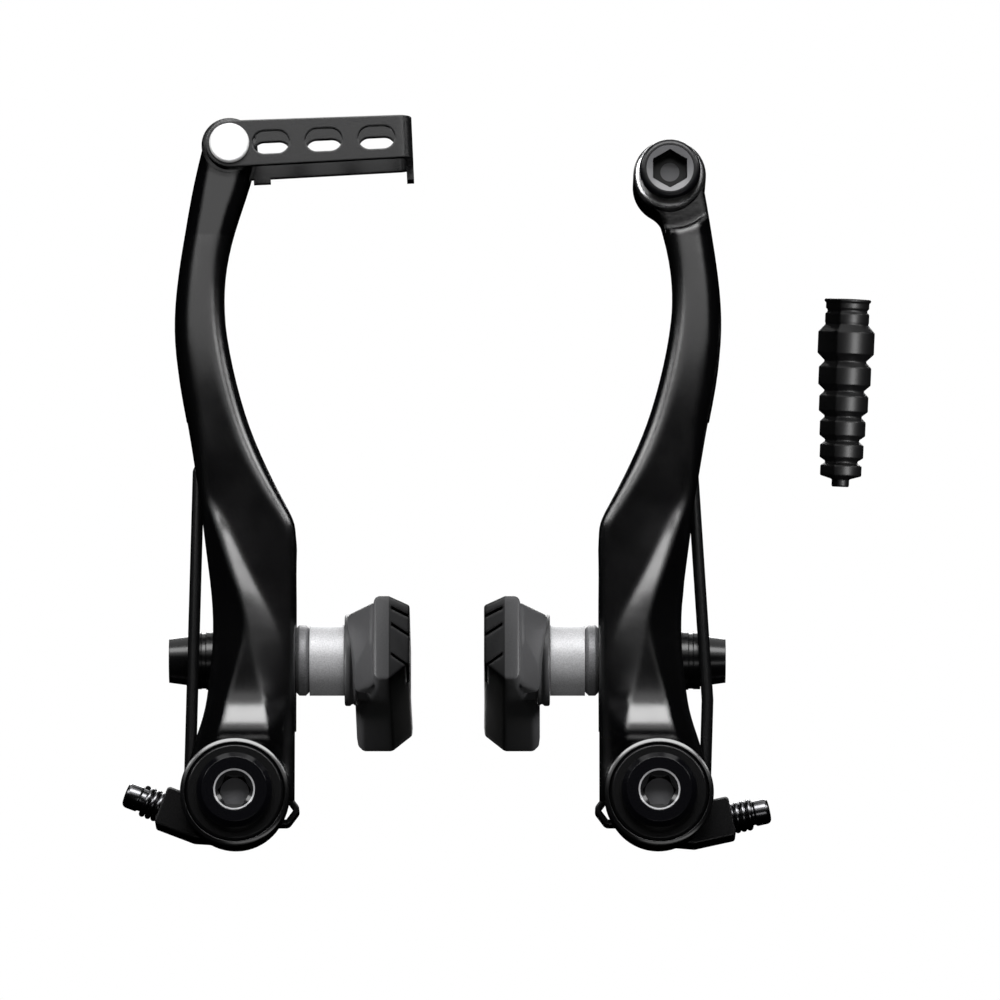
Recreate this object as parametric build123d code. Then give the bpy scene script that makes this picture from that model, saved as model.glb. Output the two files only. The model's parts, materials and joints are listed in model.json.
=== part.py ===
# Linear-pull rim brake for a bicycle: a pair of arms with pads, springs, cable link and cable boot.
# Frame: +X to the right across the wheel, +Y towards the bicycle frame, +Z up, in millimetres.
# Origin: midway between the two pivot axes, in the plane of the shoulders of the frame's bosses.
# Pieces are drawn for the left side about their own pivot axis, with -X outwards from the wheel.
import os
from math import cos, radians, sin

from build123d import *

os.makedirs("parts", exist_ok=True)

# Frame bosses and pivots
boss_spacing = 71.5
boss_radius = 4.0
boss_clearance = 0.2
bush_length = 19.0
bush_wall = 0.8
turning_clearance = 0.06
face_gap = 0.1

# Pivot bolt and its washer
bolt_radius = 3.0
bolt_reach = 22.0
bolt_neck_radius = 2.6
bolt_neck_length = 1.8
bolt_head_radius = 6.4
bolt_head_height = 2.7
bolt_head_edge = 0.9
bolt_socket_width = 5.0
bolt_socket_depth = 3.6
bolt_mouth_radius = 3.6
bolt_mouth_depth = 0.75
pivot_washer_radius = 8.3
pivot_washer_thickness = 1.2
thread_clearance = 0.05

# Arm hub
hub_radius = 9.2
hub_depth = 3.8
hub_edge = 0.8
barrel_radius = 6.2
hub_cut_radius = 10.2
hub_cut_height = 13.5
hub_seat_clearance = 0.3
hub_seat_flare = 0.5
hub_seat_depth = 0.35

# Arm: lines along the lever as (height, offset), heights from the pivot axis on a lever of the drawn length
lever_drawn_length = 112.2
lever_hub_end = 70.0
lever_lean_start = 43.0
lever_lean_right = 0.3
outer_edge = [(0, -9.0), (4, -8.4), (9, -6.9), (14, -5.3), (20, -4.35), (28, -3.8), (36, -4.3), (43, -5.2),
              (50, -6.05), (56, -7.0), (63, -8.15), (70, -9.5), (77, -10.57), (84, -10.67), (91, -9.92),
              (100, -8.57), (105.5, -7.6), (112.2, -6.1)]
inner_edge = [(0, 10.0), (9, 10.05), (43, 10.05), (46.5, 9.9), (50, 8.4), (56, 5.4), (63, 2.4), (70, 0.2),
              (77, -1.4), (84, -2.35), (91, -2.2), (95.5, -1.4), (100, -0.3), (105.5, 1.55), (112.2, 3.25)]
spine_left = [(0, -5.2), (5, -4.4), (9, -3.4), (12, -2.2), (16.5, -1.2), (22, 0.3), (28, 1.7), (32, 1.1),
              (36, -0.3), (43, -2.6), (50, -4.5), (56, -4.9), (63, -5.2), (70, -5.9), (77, -6.7), (84, -6.9),
              (91, -6.2), (100, -4.8), (105.5, -3.7), (112.2, -2.4)]
spine_right = [(0, 6.2), (5, 6.0), (9, 5.8), (12, 5.4), (16.5, 4.7), (22, 3.2), (28, 2.2), (32, 1.6), (36, 0.2),
               (43, -2.1), (50, -4.0), (56, -4.4), (63, -4.7), (70, -5.2), (77, -6.0), (84, -6.2), (91, -5.6),
               (100, -4.0), (105.5, -2.7), (112.2, -1.2)]
crease = [(0, 7.6), (14, 8.3), (22, 8.4), (28, 7.2), (32, 5.5), (36, 3.4), (43, 0.0), (50, -3.5), (56, -3.9),
          (63, -4.2), (70, -4.6), (77, -5.4), (84, -5.7), (91, -5.2), (100, -3.4), (105.5, -1.9), (112.2, -0.2)]

# Arm: depths along the lever as (height, Y); all lines share the neck's face above the widest part
neck_face = [(50, -18.0), (56, -18.3), (63, -18.55), (70, -18.7), (77, -18.6), (84, -18.3), (91, -17.9),
             (100, -17.35), (105.5, -16.95), (112.2, -16.9)]
spine_face = [(0, -18.4), (6, -18.9), (9, -19.6), (12, -19.75), (15, -18.95), (18, -18.65), (22, -18.65),
              (28, -18.65), (36, -18.75), (43, -18.65), (46.5, -18.45)] + neck_face
crease_face = [(0, -16.8), (14, -16.8), (22, -16.9), (28, -17.2), (36, -17.6), (43, -17.9)] + neck_face
inner_face = [(0, -16.6), (14, -16.5), (28, -16.9), (43, -17.6)] + neck_face
outer_face = [(0, -16.8), (14, -16.6), (28, -16.2), (36, -16.5), (43, -17.2)] + neck_face
back_face = [(0, -0.5), (36, -0.5), (43, -1.8), (50, -3.6), (56, -4.7), (63, -5.7), (84, -6.9), (98, -7.5),
             (112.2, -7.7)]

# Arm: edge roundings along the lever as (height, radius)
outer_round = [(0, 0.8), (43, 0.8), (50, 1.2), (56, 1.8), (63, 2.6), (70, 3.0), (77, 3.2), (100, 3.1),
               (112.2, 2.8)]
inner_round = [(0, 1.0), (43, 1.5), (50, 2.6), (56, 3.3), (63, 3.4), (70, 3.3), (77, 3.2), (84, 2.9), (91, 2.7),
               (112.2, 2.6)]
back_bevel = 0.8
arm_stations = [4.5, 8.5, 12, 15, 18, 23, 29, 36, 43, 46.5, 50, 56, 63, 71, 80, 90, 98, 105.5, 112.2]
arm_foot_drop = 0.8
arm_foot_front = -16.5
arm_foot_round = 1.15

# Cable end of the right arm
cable_bolt_outset = 2.1
cable_bolt_height = 107.2
cable_end_rise = 5.0
cable_boss_radius = 6.2
cable_boss_front = -15.6
cable_boss_depth = 10.0
cable_boss_web = 4.0
cable_seat_radius = 9.5
cable_seat_flare = 0.5
cable_head_radius = 5.2
cable_head_height = 4.7
cable_head_edge = 0.9
cable_socket_width = 5.8
cable_socket_depth = 3.4
cable_socket_turn = 30.0
cable_mouth_radius = 4.0
cable_mouth_depth = 0.35
clamp_plate_radius = 5.9
clamp_plate_thickness = 1.3
cable_radius = 0.8
cable_wall = 0.3

# Cable-lead link, its rivet and the left arm's end
link_outset = 1.43
link_height = 112.2
link_tilt = 2.6
link_reach = 31.2
link_sheet = 1.2
link_bend = 2.4
link_end_radius = 4.0
link_nose_half_height = 3.65
link_side_gap = 0.1
link_slot_web = 2.7
link_slot_width = 4.1
link_back_slot_width = 3.7
link_back_slot_lift = 0.65
link_slot_first = 7.1
link_slot_margin = 6.1
link_slots = 3
link_back_rise = 1.6
lead_hole_radius = 2.3
lead_slot_width = 2.4
link_lip = 2.6
link_lip_length = 1.9
link_lip_width = 3.0
link_tab_start = 3.8
link_tab_length = 2.9
link_tab_drop = 0.8
arm_end_radius = 4.75
arm_end_front = -17.0
arm_end_depth = 9.6
rivet_radius = 2.0
rivet_head_radius = 3.4
rivet_head_height = 0.9
rivet_crown = 0.25

# Return spring
wire_radius = 1.0
coil_radius = 7.75
coil_turns = 1.5
coil_pitch = 2.1
coil_gap = 0.2
spring_lean_left = 1.3
spring_lean_right = -1.8
leg_knee_height = 17.0
leg_top_left = 6.48
leg_top_right = 5.87
leg_bend_drop = 5.5
leg_overlap = 2.4
hook_height = 61.5
hook_outset = 6.2
hook_radius = 0.9
hook_seat = 1.2
hook_reach = 2.9
hook_pocket_below = 24.5
hook_pocket_above = 4.5
hook_pocket_inset = 1.3
hook_pocket_gap = 0.25

# Spring holder and tension screw
holder_radius = 7.0
holder_grip = 0.02
holder_back_gap = 0.4
holder_angle_left = 21.0
holder_angle_right = 12.5
lug_reach = 11.7
lug_drop = 4.9
lug_height = 6.7
lug_width = 7.0
lug_edge = 0.6
lug_root = 4.5
lug_root_cut = 1.4
ear_reach = 11.0
ear_drop = 1.2
ear_band = 0.9
ear_half_height = 2.7
ear_point = 2.0
ear_round = 1.1
ear_width = 4.0
stopper_radius = 1.2
stopper_reach = 4.5
stopper_offset = 9.0
screw_radius = 2.7
screw_start = 6.2
screw_thread_end = 15.6
screw_tip_radius = 2.2
screw_tip_length = 2.6
screw_tip_round = 0.7

# Pad fixing, along the post from the arm
post_height = 24.7
post_depth = -7.5
post_radius = 3.0
post_slot_clearance = 0.15
post_travel = 3.0
arm_face_inner = 10.05
arm_face_outer = -1.5
seat_clearance = 0.5
seat_gap = 0.05
washer_radius = 6.0
convex_rim = 2.2
ball_radius = 9.0
ball_hole = 4.2
cup_gap = 0.1
thick_spacer_length = 5.9
outer_convex_radius = 5.2
outer_convex_rim = 1.6
thin_spacer_length = 1.9
thin_spacer_radius = 5.0
plain_washer_thickness = 0.8
plain_washer_radius = 4.8
nut_flange_radius = 4.9
nut_flange_thickness = 1.2
nut_base_radius = 4.4
nut_end_radius = 3.8
nut_length = 5.5
nut_socket_width = 5.0
nut_socket_depth = 2.6
post_grip = 2.3
post_root = 4.6
post_root_radius = 4.6
post_root_thickness = 1.4
bore_clearance = 0.1

# Pad
pad_collar_length = 1.7
pad_collar_radius = 7.7
pad_thickness = 9.45
pad_height = 14.0
pad_near = 21.2
pad_far = 50.0
pad_tip_thickness = 6.1
pad_step_thickness = 7.3
pad_step_near = 9.0
pad_step_far = 26.0
pad_bevel_run = 8.0
pad_bevel_drop = 1.6
pad_foot_drop = 2.6
pad_foot_run = 2.2
pad_corner = 1.2
block_edge_drop = 1.6
block_edge_run = 2.8
slit_heights = [4.1, 0.5, -4.0]
slit_width = 0.6
slit_depth = 3.4
slit_slant = 25.0

# Cable boot, from its flange down to its tip, as (ring radius, ring height, groove radius under it)
boot_x = 67.3
boot_depth = 8.0
boot_base = 58.1
boot_tilt = 2.4
boot_lean = 11.0
boot_bevel = 0.22
boot_rings = [(3.9, 2.0, 3.25), (3.72, 2.1, 3.4), (4.85, 6.9, 3.5), (4.5, 4.9, 3.3), (4.22, 4.3, 3.05),
              (3.93, 3.9, 2.75), (3.75, 3.4, 2.55), (3.55, 2.9, 1.5)]
boot_tip_radius = 1.5
boot_tip_length = 1.4
boot_mouth_radius = 2.5
boot_hole_radius = 0.9

# Stack of depths along the pivot, worked out from the sizes above
bush_radius = boss_radius + boss_clearance + bush_wall
arm_bore_radius = bush_radius + turning_clearance
bush_front = -bush_length
hub_front = bush_front + face_gap
hub_back = hub_front + hub_depth
washer_front = bush_front - pivot_washer_thickness
leg_depth = hub_back + coil_gap + wire_radius
coil_back = leg_depth + coil_turns * coil_pitch + wire_radius
holder_front = coil_back + coil_gap
holder_back = -holder_back_gap
barrel_back = holder_front - coil_gap
screw_depth = holder_front + lug_width / 2
rivet_front = arm_end_front - link_side_gap - link_sheet
arm_end_back = arm_end_front + arm_end_depth
rivet_back = arm_end_back + link_side_gap + link_sheet
link_slot_pitch = (link_reach - link_slot_first - link_slot_margin) / (link_slots - 1)
link_slot_length = link_slot_pitch - link_slot_web
leg_bend_height = hook_height - leg_bend_drop
hook_pocket_low = hook_height - hook_pocket_below
hook_pocket_high = hook_height + hook_pocket_above

# Stack of positions along the pad post
convex_front = arm_face_inner + seat_gap + convex_rim
spacer_start = convex_front + cup_gap
spacer_end = spacer_start + thick_spacer_length
pad_start = spacer_end + seat_gap
pad_back = pad_start + pad_collar_length
friction_x = pad_back + pad_thickness
outer_convex_end = arm_face_outer - seat_gap - outer_convex_rim
thin_start = outer_convex_end - cup_gap
thin_end = thin_start - thin_spacer_length
plain_end = thin_end - plain_washer_thickness
nut_end = plain_end - nut_length
post_end = plain_end - post_grip


def along(line, height):
    """Offset of a line along the lever at one height."""
    for (low, start), (high, end) in zip(line, line[1:]):
        if height <= high:
            return start + (end - start) * (height - low) / (high - low)
    return line[-1][1]


def rod_y(radius, start, end, x=0.0, z=0.0):
    """Round bar along Y."""
    return Pos(x, (start + end) / 2, z) * Rot(90, 0, 0) * Cylinder(radius, abs(end - start))


def rod_x(radius, start, end, y=0.0, z=0.0):
    """Round bar along X."""
    return Pos((start + end) / 2, y, z) * Rot(0, 90, 0) * Cylinder(radius, abs(end - start))


def block(low, high):
    """Box between two corners."""
    middle = [(a + b) / 2 for a, b in zip(low, high)]
    return Pos(*middle) * Box(*[b - a for a, b in zip(low, high)])


def turned(lines, axis):
    """Solid turned from the lines of one closed profile."""
    return revolve(make_face(lines), axis)


def hexagon_y(width, start, end, x=0.0, z=0.0):
    """Hexagon socket along Y, by its width across flats, with two flats level."""
    face = Plane((x, start, z), x_dir=(1, 0, 0), z_dir=(0, 1, 0)) * RegularPolygon(
        width / 2, 6, major_radius=False)
    return extrude(face, end - start)


def socket_mouth(top, mouth, inner, depth):
    """Countersink of a hexagon socket about Y."""
    end = top + depth
    return turned([Polyline((0, top), (mouth, top), (inner, end), (0, end), close=True)], Axis.Y)


def arm_section(drawn, height, shift):
    """Outline of the lever in one level plane: rounded front corners, bevelled back corners."""
    outer, inner = along(outer_edge, drawn), along(inner_edge, drawn)
    out_y, in_y = along(outer_face, drawn), along(inner_face, drawn)
    back, bend = along(back_face, drawn), back_bevel
    out_r, in_r = along(outer_round, drawn), along(inner_round, drawn)
    k = 1 - cos(radians(45))

    def at(x, y):
        return (x + shift, y, height)

    inner_side = [
        at(outer + bend, back), at(inner - bend, back), at(inner, back - bend), at(inner, in_y + in_r),
    ]
    front = [
        at(inner - in_r, in_y), at(along(crease, drawn), along(crease_face, drawn)),
        at(along(spine_right, drawn), along(spine_face, drawn)),
        at(along(spine_left, drawn), along(spine_face, drawn)), at(outer + out_r, out_y),
    ]
    outer_side = [at(outer, out_y + out_r), at(outer, back - bend), inner_side[0]]
    inner_arc = ThreePointArc(inner_side[-1], at(inner - k * in_r, in_y + k * in_r), front[0])
    outer_arc = ThreePointArc(front[-1], at(outer + k * out_r, out_y + k * out_r), outer_side[0])
    edges = [Line(start, end) for start, end in zip(inner_side, inner_side[1:])] + [inner_arc]
    edges += [Line(start, end) for start, end in zip(front, front[1:])] + [outer_arc]
    return make_face(edges + [Line(start, end) for start, end in zip(outer_side, outer_side[1:])])


def slot_x(radius, travel, start, end):
    """Upright slot along X about the pad post."""
    middle = block((start, post_depth - radius, post_height - travel),
                   (end, post_depth + radius, post_height + travel))
    ends = [rod_x(radius, start, end, post_depth, post_height + lift) for lift in (-travel, travel)]
    return middle + ends


def arm_lever(top, lean):
    """Lever with its hub, pad slot and spring pocket, without its upper end; the neck follows its height."""
    stretch = (top - lever_hub_end) / (lever_drawn_length - lever_hub_end)
    sections = []
    for drawn in arm_stations:
        height = lever_hub_end + max(drawn - lever_hub_end, 0) * stretch + min(drawn - lever_hub_end, 0)
        shift = -sin(radians(lean)) * max(height - lever_lean_start, 0)
        sections.append(arm_section(drawn, height, shift))
    lever = loft(sections)
    hub = rod_y(hub_radius, hub_front, hub_back)
    hub = chamfer(hub.edges().sort_by(Axis.Y)[0], hub_edge)
    reach = 4 * hub_radius
    behind_hub = block((-reach, hub_back, -reach), (reach, reach, hub_cut_height))
    foot = block((0, arm_foot_front, -arm_foot_drop), (arm_face_inner, reach, hub_cut_height))
    foot = fillet(foot.edges().filter_by(Axis.Z).sort_by(Axis.X)[-2:].sort_by(Axis.Y)[0], arm_foot_round)
    lever = lever + foot
    lever = lever - behind_hub - rod_y(hub_cut_radius, hub_back, reach)
    seat_radius = pivot_washer_radius + hub_seat_clearance
    flare_start = hub_front - hub_seat_depth
    seat = turned([Polyline(
        (0, hub_front), (seat_radius, hub_front), (seat_radius, flare_start),
        (seat_radius + hub_seat_flare, flare_start - hub_seat_flare),
        (seat_radius + hub_seat_flare, hub_front - reach), (0, hub_front - reach), close=True)], Axis.Y)
    lever = lever - seat + hub + rod_y(barrel_radius, hub_back - hub_depth / 2, barrel_back)
    lever = lever - rod_y(arm_bore_radius, hub_front - reach, reach)
    lever = lever - slot_x(post_radius + post_slot_clearance, post_travel, -reach, reach)
    lever = lever - slot_x(outer_convex_radius + seat_clearance, post_travel, -reach, arm_face_outer)
    pocket_front = leg_depth - wire_radius - hook_pocket_gap
    pocket = block((-reach, pocket_front, hook_pocket_low), (-hook_pocket_inset, reach, hook_pocket_high))
    lever = lever - pocket
    return lever - rod_y(hook_radius, pocket_front - hook_seat, reach, -hook_outset, hook_height)


def left_arm():
    """Lever with the round end that the link turns on."""
    end = rod_y(arm_end_radius, arm_end_front, arm_end_back, -link_outset, link_height)
    arm = arm_lever(link_height, 0) + end
    return arm - rod_y(rivet_radius, rivet_front, rivet_back, -link_outset, link_height)


def right_arm():
    """Lever with the cable boss, set back in a round seat, and a web where the boss meets the neck."""
    boss_back = cable_boss_front + cable_boss_depth
    boss = rod_y(cable_boss_radius, cable_boss_front, boss_back, -cable_bolt_outset, cable_bolt_height)
    arm = arm_lever(cable_bolt_height + cable_end_rise, lever_lean_right)
    far = 3 * cable_boss_radius
    flare_start = along(neck_face, cable_bolt_height - cable_seat_radius) + cable_seat_flare
    seat = turned([Polyline(
        (0, cable_boss_front), (cable_seat_radius, cable_boss_front), (cable_seat_radius, flare_start),
        (cable_seat_radius + far, flare_start - far), (0, flare_start - far), close=True)], Axis.Y)
    arm = arm - Pos(-cable_bolt_outset, 0, cable_bolt_height) * seat
    over = block((-far, -far * 2, cable_bolt_height), (far, far, cable_bolt_height + far))
    arm = arm - over + boss
    web_height = cable_bolt_height - cable_seat_radius
    lean_shift = sin(radians(lever_lean_right)) * (web_height - lever_lean_start)
    edge_x = along(inner_edge, web_height) - lean_shift
    web_x = edge_x + cable_boss_web
    drop = ((cable_boss_radius + cable_boss_web) ** 2 - (web_x + cable_bolt_outset) ** 2) ** 0.5
    web_z = cable_bolt_height - drop
    corner = make_face(Polyline(
        (-cable_bolt_outset, cable_boss_front, cable_bolt_height), (web_x, cable_boss_front, web_z),
        (edge_x - cable_boss_web / 4, cable_boss_front, web_z), close=True))
    web = extrude(corner, cable_boss_depth, dir=(0, 1, 0))
    arm = arm + (web - rod_y(cable_boss_web, cable_boss_front, boss_back, web_x, web_z))
    return arm - rod_y(bolt_radius + thread_clearance, cable_boss_front, boss_back,
                       -cable_bolt_outset, cable_bolt_height)


def pivot_bush():
    return rod_y(bush_radius, bush_front, 0) - rod_y(boss_radius + boss_clearance, bush_front, 0)


def pivot_washer():
    washer = rod_y(pivot_washer_radius, washer_front, bush_front)
    washer = chamfer(washer.edges().sort_by(Axis.Y)[0], pivot_washer_thickness / 3)
    return washer - rod_y(bolt_radius + thread_clearance, washer_front, bush_front)


def pivot_bolt():
    """Low head with a chamfered hexagon socket, and a plain shank with a relief neck."""
    top = washer_front - bolt_head_height
    neck_end, shank_end = washer_front + bolt_neck_length, washer_front + bolt_reach
    bolt = turned([Polyline(
        (0, top), (bolt_head_radius - bolt_head_edge, top), (bolt_head_radius, top + bolt_head_edge),
        (bolt_head_radius, washer_front), (bolt_neck_radius, washer_front), (bolt_neck_radius, neck_end),
        (bolt_radius, neck_end), (bolt_radius, shank_end), (0, shank_end), close=True)], Axis.Y)
    mouth = socket_mouth(top, bolt_mouth_radius, bolt_socket_width / 2, bolt_mouth_depth)
    return bolt - mouth - hexagon_y(bolt_socket_width, top, top + bolt_socket_depth)


def half_turn(index):
    """Half a turn of the coil, tilted so that it climbs by half the pitch; its ends point up or down."""
    way = 1 if index % 2 == 0 else -1
    rise = coil_pitch / 2
    centre = Vector(0, leg_depth + (index + 0.5) * rise, 0)
    across = Vector(2 * way * coil_radius, rise, 0).normalized()
    arc_radius = (coil_radius ** 2 + (rise / 2) ** 2) ** 0.5
    wire = Plane(centre - across * arc_radius, x_dir=across, z_dir=(0, 0, 1)) * Circle(wire_radius)
    turn_axis = Axis(centre, across.cross(Vector(0, 0, way)))
    return revolve(wire, turn_axis, 180)


def spring(lean, leg_top):
    """Coil behind the hub, with a leg that bends in behind the arm onto its peg."""
    turn = radians(lean)

    def leg_point(x, z):
        # A point in the arm's frame, turned back by the lean that the whole spring gets afterwards.
        return Vector(x * cos(turn) - z * sin(turn), leg_depth, x * sin(turn) + z * cos(turn))

    start = Vector(-coil_radius, leg_depth, 0)
    knee = Vector(-coil_radius, leg_depth, leg_knee_height)
    bend = leg_point(-leg_top, leg_bend_height)
    hook = leg_point(-hook_outset + hook_radius + wire_radius + coil_gap, hook_height)
    tip = hook + (hook - bend).normalized() * leg_overlap
    coil = half_turn(0)
    for index in range(1, round(2 * coil_turns)):
        coil = coil + half_turn(index)
    for line in (Line(tip, bend), Line(bend, knee), Line(knee, start)):
        coil = coil + Plane(line @ 0.5, z_dir=line % 0.5) * Cylinder(wire_radius, line.length)
    for joint in (bend, knee):
        coil = coil + Pos(joint.X, joint.Y, joint.Z) * Sphere(wire_radius)
    return Rot(0, lean, 0) * coil


def holder_frame(angle):
    """Axes of the holder's lug: X along the screw to its tip, Z away from the pivot."""
    return Plane((0, 0, 0), x_dir=(-cos(radians(angle)), 0, sin(radians(angle))), z_dir=(
        -sin(radians(angle)), 0, -cos(radians(angle))))


def spring_holder(angle):
    """Ring on the bush with the screw's lug, an ear for the spring's tail and a stopper pin."""
    frame = holder_frame(angle)
    side = frame.y_dir.Y
    low, high = lug_drop - lug_height / 2, lug_drop + lug_height / 2
    depth = sorted((side * holder_front, side * (holder_front + lug_width)))
    side_view = make_face(Polyline(
        (0, depth[0], low), (lug_reach, depth[0], low), (lug_reach, depth[0], high), (lug_root, depth[0], high),
        (0, depth[0], high - lug_root_cut), close=True))
    lug = extrude(side_view, depth[1] - depth[0], dir=(0, 1, 0))
    lug = fillet(lug.edges().filter_by(Axis.Y).sort_by(Axis.X)[-2:], lug_edge)
    ring = rod_y(holder_radius, holder_front, holder_back)
    holder = ring + frame * lug
    shoulder = ear_reach - ear_point
    ear_face = make_face(Polyline(
        (0, holder_front, ear_half_height), (shoulder, holder_front, ear_half_height),
        (ear_reach, holder_front, 0), (shoulder, holder_front, -ear_half_height),
        (0, holder_front, -ear_half_height), close=True))
    ear = extrude(ear_face, ear_width, dir=(0, 1, 0))
    ear = fillet(ear.edges().filter_by(Axis.Y).sort_by(Axis.X)[-3:], ear_round)
    hollow = extrude(offset(ear_face, -ear_band), ear_width, dir=(0, 1, 0))
    ear = Pos(0, 0, -ear_drop) * (ear - hollow)
    holder = holder + (ear - rod_y(holder_radius - ear_band / 2, holder_front, holder_back))
    pin = frame * Pos(stopper_offset, 0, lug_drop)
    pin_start = holder_front + lug_width - lug_edge
    stopper = rod_y(stopper_radius, pin_start, stopper_reach, pin.position.X, pin.position.Z)
    bore_radius = screw_radius + turning_clearance
    bore = frame * rod_x(bore_radius, screw_start, lug_reach * 2, side * screw_depth, lug_drop)
    bush_hole = rod_y(bush_radius + holder_grip, holder_front * 2, stopper_reach)
    return holder + stopper - bore - bush_hole


def adjust_screw(angle):
    """Tension screw with a plain rounded end."""
    frame = holder_frame(angle)
    side = frame.y_dir.Y
    tip_end = screw_thread_end + screw_tip_length
    tip = rod_x(screw_tip_radius, screw_thread_end, tip_end)
    tip = chamfer(tip.edges().sort_by(Axis.X)[-1], screw_tip_round)
    screw = rod_x(screw_radius, screw_start + turning_clearance, screw_thread_end) + tip
    return frame * Pos(0, side * screw_depth, lug_drop) * screw


def spring_hook_pin():
    pocket_front = leg_depth - wire_radius - hook_pocket_gap
    peg = rod_y(hook_radius, pocket_front - hook_seat, pocket_front + hook_reach, -hook_outset, hook_height)
    return chamfer(peg.edges().sort_by(Axis.Y)[-1], hook_radius / 4)


def on_post(piece):
    """Piece drawn about X, moved to the pad post."""
    return Pos(0, post_depth, post_height) * piece


def ball_face(sphere, start, end):
    """Run of a ball's outline along X between two distances from its axis, seen from its centre."""
    return [((sphere ** 2 - radius ** 2) ** 0.5, radius) for radius in (start, (start + end) / 2, end)]


def ball_washer(seat, rim, radius, side):
    """Washer with a flat seat and a ball face; side is +1 where the ball points to +X."""
    edge = rim / 4
    face = ball_face(ball_radius, radius - edge, ball_hole)
    start, end = seat_gap, seat_gap + rim
    shift = end - face[0][0]
    face = [(x + shift, r) for x, r in face]
    flat = Polyline((face[2][0], ball_hole), (start, ball_hole), (start, radius - edge),
                    (start + edge, radius), (end - edge, radius), face[0])
    washer = turned([flat, ThreePointArc(*face)], Axis.X)
    return on_post(Pos(seat, 0, 0) * (washer if side > 0 else mirror(washer, about=Plane.YZ)))


def cup_washer(start, length, radius, mate_radius, mate_rim, side):
    """Spacer with a hollow ball face that sits over a ball washer's face."""
    mate_face = ball_face(ball_radius, mate_radius - mate_rim / 4, ball_hole)
    shift = -cup_gap - mate_face[0][0]
    bore = post_radius + bore_clearance
    hollow = [(x + shift, r) for x, r in ball_face(ball_radius + cup_gap, radius, bore)]
    cup = turned([
        ThreePointArc(*hollow),
        Polyline(hollow[2], (length, bore), (length, radius), hollow[0]),
    ], Axis.X)
    rim_plane = block((0, -radius, -radius), (length, radius, radius))
    cup = cup & rim_plane
    return on_post(Pos(start, 0, 0) * (cup if side > 0 else mirror(cup, about=Plane.YZ)))


def pad_post():
    """Threaded stud with the flange that is moulded into the pad."""
    root = pad_back + post_root
    stud = rod_x(post_radius, post_end, root)
    return on_post(stud + rod_x(post_root_radius, root - post_root_thickness, root))


def pad_nut():
    """Flanged socket nut with a tapered body."""
    flange_end = plain_end - nut_flange_thickness
    nut = turned([
        Line((plain_end, 0), (plain_end, nut_flange_radius)),
        Line((plain_end, nut_flange_radius), (flange_end, nut_flange_radius)),
        Line((flange_end, nut_flange_radius), (flange_end, nut_base_radius)),
        Line((flange_end, nut_base_radius), (nut_end, nut_end_radius)),
        Line((nut_end, nut_end_radius), (nut_end, 0)),
        Line((nut_end, 0), (plain_end, 0)),
    ], Axis.X)
    socket = RegularPolygon(nut_socket_width / 2, 6, major_radius=False)
    nut = nut - extrude(Plane((nut_end, 0, 0), z_dir=(1, 0, 0)) * socket, nut_socket_depth)
    return on_post(nut - rod_x(post_radius + thread_clearance, post_end - bore_clearance, plain_end))


def brake_pad():
    """Moulded pad: thin at the near end, a collar at the post, slits along the friction block."""
    near, far = -pad_near, pad_far
    plan = Polyline(
        (friction_x, near, 0), (friction_x, far - pad_bevel_run, 0), (friction_x - pad_bevel_drop, far, 0),
        (pad_back, far, 0), (pad_back, near + pad_step_far, 0),
        (friction_x - pad_step_thickness, near + pad_step_near, 0),
        (friction_x - pad_tip_thickness, near, 0), close=True)
    pad = Pos(0, 0, -pad_height / 2) * extrude(make_face(plan), pad_height, dir=(0, 0, 1))
    pad = fillet(pad.edges().filter_by(Axis.Z), pad_corner)
    long = 3 * (far - near)
    low = -pad_height / 2
    for edge, drop, run in ((-low, -block_edge_drop, block_edge_run), (low, pad_foot_drop, pad_foot_run)):
        wedge = make_face(Polyline(
            (friction_x, 0, edge), (friction_x - run, 0, edge), (friction_x, 0, edge + drop), close=True))
        pad = pad - Pos(0, near - far, 0) * extrude(wedge, long, dir=(0, 1, 0))
    collar = rod_x(pad_collar_radius, pad_start, pad_back + post_root / 2)
    pad = pad + chamfer(collar.edges().sort_by(Axis.X)[0], pad_collar_length / 3)
    for lift in slit_heights:
        slit = Pos(friction_x, (near + far) / 2, lift) * Rot(0, slit_slant, 0) * Box(
            2 * slit_depth, 2 * (far - near), slit_width)
        pad = pad - slit
    pad = on_post(pad)
    return pad - pad_post()


def link_rivet():
    """Rivet through the arm's end, with a flat bright head each side."""
    front, back = rivet_front - face_gap, rivet_back + face_gap
    rivet = rod_y(rivet_radius, front - rivet_head_height / 2, back + rivet_head_height / 2)
    for seat, side in ((front, -1), (back, 1)):
        head = rod_y(rivet_head_radius, seat, seat + side * rivet_head_height)
        rim = head.edges().sort_by(Axis.Y)[0 if side < 0 else -1]
        rivet = rivet + chamfer(rim, rivet_crown)
    return Pos(-link_outset, 0, link_height) * rivet


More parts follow.
